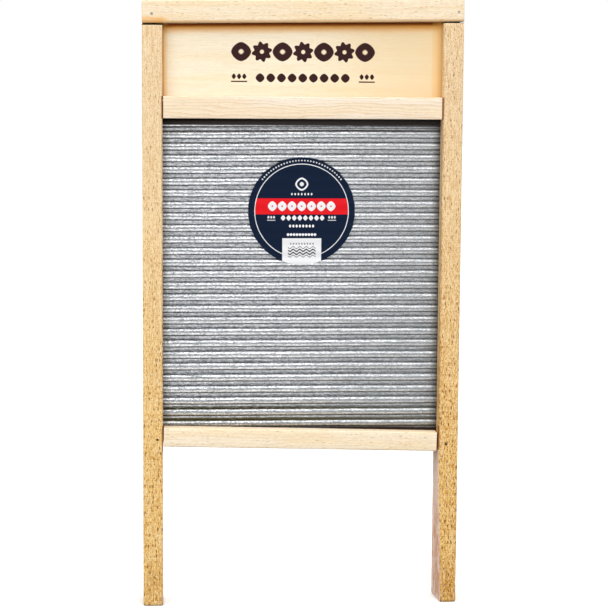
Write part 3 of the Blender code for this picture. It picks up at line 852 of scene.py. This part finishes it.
def corrugated_sheet(material):
    """The metal sheet with uneven, rounded ridges."""
    low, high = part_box("scrub_sheet")
    line = ridge_line(16)
    columns = 88
    shape = bmesh.new()
    fronts, backs = [], []
    for z, offset in line:
        front_row, back_row = [], []
        for column in range(columns + 1):
            x = low.x + (high.x - low.x) * column / columns
            sway = noise.noise(Vector((x * 14, z * 9, 3.0))) * 0.34 * MM
            sway -= RIDGE_DROOP * smoothstep(-x, -0.06, 0.14) * smoothstep(z, 0.28, 0.48)
            height = 0.93 + 0.06 * noise.noise(Vector((x * 30, z * 60, 8.0)))
            depth = ridge_depth(offset) * height
            dimple = noise.noise(Vector((x * 22, z * 40, 15.0))) * 0.07 * MM
            y = VALLEY_FRONT - depth + dimple * (0.3 if offset is None else 1.0)
            y = max(y, low.y)
            edge = 0.0 if offset is None else sway
            front_row.append(shape.verts.new((x, y, z + edge)))
            back_row.append(shape.verts.new((x, min(y + METAL_THICKNESS, high.y), z + edge)))
        fronts.append(front_row)
        backs.append(back_row)
    for r in range(len(line) - 1):
        for c in range(columns):
            f, b = fronts, backs
            shape.faces.new((f[r][c], f[r][c + 1], f[r + 1][c + 1], f[r + 1][c]))
            shape.faces.new((b[r][c], b[r + 1][c], b[r + 1][c + 1], b[r][c + 1]))
        for c, flip in ((0, False), (columns, True)):
            quad = [fronts[r][c], fronts[r + 1][c], backs[r + 1][c], backs[r][c]]
            shape.faces.new(quad[::-1] if flip else quad)
    for r, flip in ((0, True), (len(line) - 1, False)):
        for c in range(columns):
            quad = [fronts[r][c], fronts[r][c + 1], backs[r][c + 1], backs[r][c]]
            shape.faces.new(quad[::-1] if flip else quad)
    bmesh.ops.recalc_face_normals(shape, faces=shape.faces)
    mesh = bpy.data.meshes.new("corrugated_metal")
    shape.to_mesh(mesh)
    shape.free()
    shade(mesh, 60)
    return new_piece("corrugated_metal", mesh, material, "galvanised", "scrub_sheet")


def paper_label(material):
    """A round paper label that sags a little between the ridges and curls at its rim."""
    low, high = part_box("round_label")
    centre_z = (low.z + high.z) / 2
    radius = (high.z - low.z) / 2 - 0.2 * MM
    rings, sides = 30, 180
    shape = bmesh.new()

    def surface(z, share):
        return high.y - 0.05 * MM + between_ridges(z) * (0.28 + 0.55 * share ** 6) * MM

    layers = []
    for lift in (0.16 * MM, 0.0):
        grid = []
        for i in range(rings + 1):
            share = i / rings
            row = []
            for j in range(sides if i else 1):
                turn = math.tau * j / sides
                x = radius * share * math.cos(turn)
                z = centre_z + radius * share * math.sin(turn)
                scallop = 1 - 0.007 * share ** 8 * between_ridges(z)
                row.append(shape.verts.new((x * scallop, surface(z, share) - lift, z)))
            grid.append(row)
        layers.append(grid)
    for grid in layers:
        for j in range(sides):
            nxt = (j + 1) % sides
            shape.faces.new((grid[0][0], grid[1][j], grid[1][nxt]))
            for i in range(1, rings):
                shape.faces.new((grid[i][j], grid[i + 1][j], grid[i + 1][nxt], grid[i][nxt]))
    for j in range(sides):
        nxt = (j + 1) % sides
        shape.faces.new((layers[0][-1][j], layers[0][-1][nxt], layers[1][-1][nxt], layers[1][-1][j]))
    bmesh.ops.recalc_face_normals(shape, faces=shape.faces)
    mesh = bpy.data.meshes.new("paper_label")
    shape.to_mesh(mesh)
    shape.free()
    shade(mesh, 50)
    return new_piece("paper_label", mesh, material, "printed_paper", "round_label")


# ---------------------------------------------------------------------------
# The board
# ---------------------------------------------------------------------------

def make_legs():
    """The two posts: the right one has a bolder figure and a thinner painted gap shadow under the cap.
    """
    top_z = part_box("left_leg")[1].z / MM
    sides = (("left", -1.0, 1.0, 1.0, 1.05), ("right", 1.0, 4.0, 1.25, 0.65))
    for side, sign, seed, boldness, gap_shadow_depth in sides:
        node = side + "_leg"
        low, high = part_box(node)
        gap_shadow_z = (high.z - LEG_TENON_HEIGHT) / MM - gap_shadow_depth
        skin = plank_skin(node + "_skin", low, high, "Z", seed, radius=1.3 * MM, end_radius=2.0 * MM)
        wood = porous_wood(node + "_wood", seed, sign, top_z, gap_shadow_z, boldness)
        trimmed_wood(node, skin, wood, "leg_wood")


def crooked_skin(node, tilt, seed, **shape):
    """The uneven skin of a tilted rail: made level from its box, and then turned."""
    low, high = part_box(node)
    centre = (low + high) / 2
    across, up = high.x - low.x, high.z - low.z
    c, s = math.cos(tilt), math.sin(abs(tilt))
    length = (across * c - up * s) / math.cos(2 * tilt)
    height = (up * c - across * s) / math.cos(2 * tilt)
    half = Vector((length / 2, (high.y - low.y) / 2, height / 2))
    skin = plank_skin(node + "_skin", centre - half, centre + half, "X", seed, **shape)
    skin.transform(Matrix.Translation(centre) @ Matrix.Rotation(tilt, 4, "Y")
                   @ Matrix.Translation(-centre))
    return skin


def make_rails():
    """The cap, the chipped middle rail and the crooked lower rail."""
    late = (0.70, 0.45, 0.21)
    skin = crooked_skin("top_rail", TOP_RAIL_TILT, 7.0, radius=1.0 * MM)
    wood = pine("top_rail_pine", 7.0, (0.89, 0.75, 0.555), late, (40.0, 30.0),
                ring_strength=0.5, flecks=1.1, extra=top_rail_colour)
    trimmed_wood("top_rail", skin, wood, "pine")

    low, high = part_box("middle_rail")
    chip = ((0.1084, low.y, high.z), 1.6 * MM, 1.4 * MM)
    skin = plank_skin("middle_rail_skin", low, high, "X", 9.0, radius=0.9 * MM, dents=(chip,))
    wood = pine("middle_rail_pine", 9.0, (0.96, 0.835, 0.68), late, (-16.0, 21.0),
                ring_strength=1.1, lean=0.02, flecks=0.35)
    trimmed_wood("middle_rail", skin, wood, "pine")

    skin = crooked_skin("lower_rail", LOWER_RAIL_TILT, 12.0, radius=0.9 * MM)
    wood = pine("lower_rail_pine", 12.0, (0.97, 0.835, 0.64), late, (25.0, 18.0), ring_strength=0.6)
    trimmed_wood("lower_rail", skin, wood, "pine")


def make_panel():
    """The header board, with its printed border."""
    low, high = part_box("header_panel")
    skin = plank_skin("header_panel_board", low, high, "X", 15.0, radius=0.5 * MM,
                      end_radius=0.5 * MM)
    shade(skin, 40)
    wood = pine("header_pine", 15.0, (0.98, 0.865, 0.665), (0.80, 0.57, 0.31), (-55.0, 46.0),
                ring_width=5.5, ring_strength=0.22, flecks=0.22, extra=header_colour)
    new_piece("header_panel_board", skin, wood, "panel_pine", "header_panel")


def make_metal():
    """The zinc sheet with its paper label, and new steel for the CAD nails."""
    corrugated_sheet(galvanised("zinc"))
    label_low, label_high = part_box("round_label")
    centre_z = (label_low.z + label_high.z) / 2 / MM
    radius = (label_high.z - label_low.z) / 2 / MM
    paper_label(label_print("label_print", centre_z, radius))
    clean = nail_steel("nail_steel", (0.44, 0.46, 0.52), (0.20, 0.18, 0.17))
    # the lower nails are near black: painted shadow of sunk nail holes, with a few rust spots
    sunk_hole_shadow = nail_steel("stained_nail_steel", (0.05, 0.045, 0.042), (0.10, 0.05, 0.03))
    for name, node in NODES.items():
        if "nail" in name:
            node.data.materials.clear()
            node.data.materials.append(clean if name.startswith("top_rail") else sunk_hole_shadow)


# ---------------------------------------------------------------------------
# Stage, light and camera
# ---------------------------------------------------------------------------

def make_floor():
    """A plain pale floor under and behind the board."""
    mesh = bpy.data.meshes.new("floor")
    half = 12.0
    mesh.from_pydata([(-half, -half, 0), (half, -half, 0), (half, half, 0), (-half, half, 0)], [],
                     [(0, 1, 2, 3)])
    floor = bpy.data.objects.new("floor", mesh)
    bpy.context.scene.collection.objects.link(floor)
    material = bpy.data.materials.new("pale_floor")
    material.use_nodes = True
    shader = material.node_tree.nodes["Principled BSDF"]
    shader.inputs["Base Color"].default_value = (0.94, 0.94, 0.94, 1.0)
    shader.inputs["Roughness"].default_value = 0.9
    mesh.materials.append(material)
    floor.visible_diffuse = False


def make_world():
    """A studio dome: bright above, dim below, and white where the camera looks past the board."""
    world = bpy.data.worlds.new("studio")
    world.use_nodes = True
    bpy.context.scene.world = world
    tree = world.node_tree
    tree.nodes.clear()
    coordinates = tree.nodes.new("ShaderNodeTexCoord")
    split = tree.nodes.new("ShaderNodeSeparateXYZ")
    tree.links.new(coordinates.outputs["Generated"], split.inputs[0])
    ramp = tree.nodes.new("ShaderNodeValToRGB")
    ramp.color_ramp.interpolation = "EASE"
    height = tree.nodes.new("ShaderNodeMapRange")
    height.inputs["From Min"].default_value = -1.0
    height.inputs["From Max"].default_value = 1.0
    tree.links.new(split.outputs["Z"], height.inputs["Value"])
    tree.links.new(height.outputs["Result"], ramp.inputs[0])
    stops = ((0.0, 0.10), (0.44, 0.12), (0.52, 0.36), (0.62, 0.45), (0.74, 1.05), (1.0, 1.0))
    elements = ramp.color_ramp.elements
    while len(elements) < len(stops):
        elements.new(0.5)
    for element, (place, value) in zip(elements, stops):
        element.position = place
        element.color = (value, value, value * 0.995, 1.0)
    dome = tree.nodes.new("ShaderNodeBackground")
    dome.inputs["Strength"].default_value = 1.38
    tree.links.new(ramp.outputs[0], dome.inputs["Color"])
    white = tree.nodes.new("ShaderNodeBackground")
    white.inputs["Color"].default_value = (1.0, 1.0, 1.0, 1.0)
    path = tree.nodes.new("ShaderNodeLightPath")
    mix = tree.nodes.new("ShaderNodeMixShader")
    tree.links.new(path.outputs["Is Camera Ray"], mix.inputs[0])
    tree.links.new(dome.outputs[0], mix.inputs[1])
    tree.links.new(white.outputs[0], mix.inputs[2])
    output = tree.nodes.new("ShaderNodeOutputWorld")
    tree.links.new(mix.outputs[0], output.inputs[0])


def add_softbox(name, place, aim, size, power):
    """A square lamp at a place, turned towards a point."""
    data = bpy.data.lights.new(name, "AREA")
    data.shape = "RECTANGLE"
    data.size = data.size_y = size
    data.energy = power
    light = bpy.data.objects.new(name, data)
    bpy.context.scene.collection.objects.link(light)
    light.location = place
    light.rotation_mode = "QUATERNION"
    light.rotation_quaternion = (Vector(aim) - Vector(place)).to_track_quat("-Z", "Y")


def make_lights():
    """A key lamp above on the right, and a broader fill lamp on the left."""
    middle = (0.0, 0.0, 0.33)
    add_softbox("key", (0.55, -1.6, 1.45), middle, 0.9, 13.5)
    add_softbox("fill", (-1.4, -1.5, 0.9), middle, 1.2, 12.0)


def make_camera():
    """In front, a little left of the middle, looking slightly down."""
    data = bpy.data.cameras.new("camera")
    data.lens = CAMERA_LENS
    data.sensor_width = 36.0
    data.clip_start = 0.05
    camera = bpy.data.objects.new("camera", data)
    bpy.context.scene.collection.objects.link(camera)
    camera.matrix_world = (Matrix.Translation(CAMERA_PLACE)
                           @ Matrix.Rotation(-CAMERA_YAW, 4, "Z")
                           @ Matrix.Rotation(math.pi / 2 - CAMERA_PITCH, 4, "X")
                           @ Matrix.Rotation(CAMERA_ROLL, 4, "Z"))
    bpy.context.scene.camera = camera


bpy.context.scene.view_settings.view_transform = "Standard"
make_camera()
make_world()
make_lights()
make_floor()
make_legs()
make_rails()
make_panel()
make_metal()
